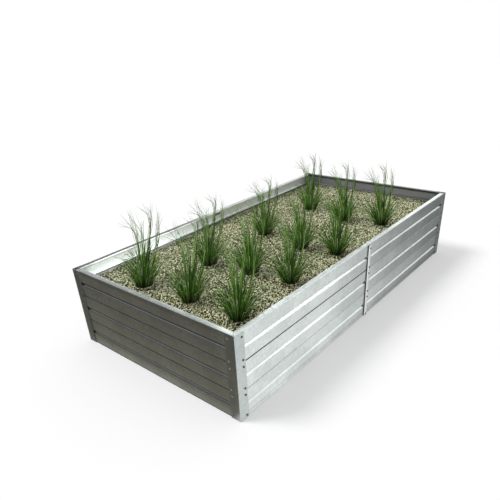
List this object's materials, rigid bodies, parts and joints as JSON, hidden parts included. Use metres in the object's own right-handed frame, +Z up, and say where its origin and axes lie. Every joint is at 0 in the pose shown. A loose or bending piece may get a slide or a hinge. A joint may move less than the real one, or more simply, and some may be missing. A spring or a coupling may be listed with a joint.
{
  "type": "raised garden bed",
  "caption": "Rectangular raised garden bed of stacked roll-formed steel planks with bolted corner posts and joint channels, filled with gravel and planted with grass clumps.",
  "frame": {"origin": "on the ground under the middle of the bed", "axes": "+X along the long sides from the left end to the right end, +Y from the front long side to the back one, +Z up"},
  "size_m": [1.9606, 1.0182, 0.6943],
  "materials": {
    "plank_steel": "satin",
    "post_steel": "satin",
    "channel_steel": "satin",
    "fastener_steel": "satin",
    "soil": "matte",
    "gravel": "matte",
    "grass": "matte"
  },
  "bodies": {
    "root": {"left_end_plank_lower": "plank_steel", "left_end_plank_middle": "plank_steel", "left_end_plank_upper": "plank_steel", "right_end_plank_lower": "plank_steel", "right_end_plank_middle": "plank_steel", "right_end_plank_upper": "plank_steel", "front_left_plank_lower": "plank_steel", "front_left_plank_middle": "plank_steel", "front_left_plank_upper": "plank_steel", "front_right_plank_lower": "plank_steel", "front_right_plank_middle": "plank_steel", "front_right_plank_upper": "plank_steel", "back_left_plank_lower": "plank_steel", "back_left_plank_middle": "plank_steel", "back_left_plank_upper": "plank_steel", "back_right_plank_lower": "plank_steel", "back_right_plank_middle": "plank_steel", "back_right_plank_upper": "plank_steel", "corner_post_front_left": "post_steel", "corner_post_front_right": "post_steel", "corner_post_back_right": "post_steel", "corner_post_back_left": "post_steel", "joint_channel_front": "channel_steel", "clamp_plate_front_1": "fastener_steel", "clamp_plate_front_2": "fastener_steel", "clamp_plate_front_3": "fastener_steel", "clamp_plate_front_4": "fastener_steel", "clamp_plate_front_5": "fastener_steel", "clamp_plate_front_6": "fastener_steel", "joint_channel_back": "channel_steel", "clamp_plate_back_1": "fastener_steel", "clamp_plate_back_2": "fastener_steel", "clamp_plate_back_3": "fastener_steel", "clamp_plate_back_4": "fastener_steel", "clamp_plate_back_5": "fastener_steel", "clamp_plate_back_6": "fastener_steel", "tie_rod": "fastener_steel", "soil_fill": "soil", "gravel_layer": "gravel", "grass_clump_1": "grass", "grass_clump_2": "grass", "grass_clump_3": "grass", "grass_clump_4": "grass", "grass_clump_5": "grass", "grass_clump_6": "grass", "grass_clump_7": "grass", "grass_clump_8": "grass", "grass_clump_9": "grass", "grass_clump_10": "grass", "grass_clump_11": "grass", "grass_clump_12": "grass"}
  },
  "joints": []
}
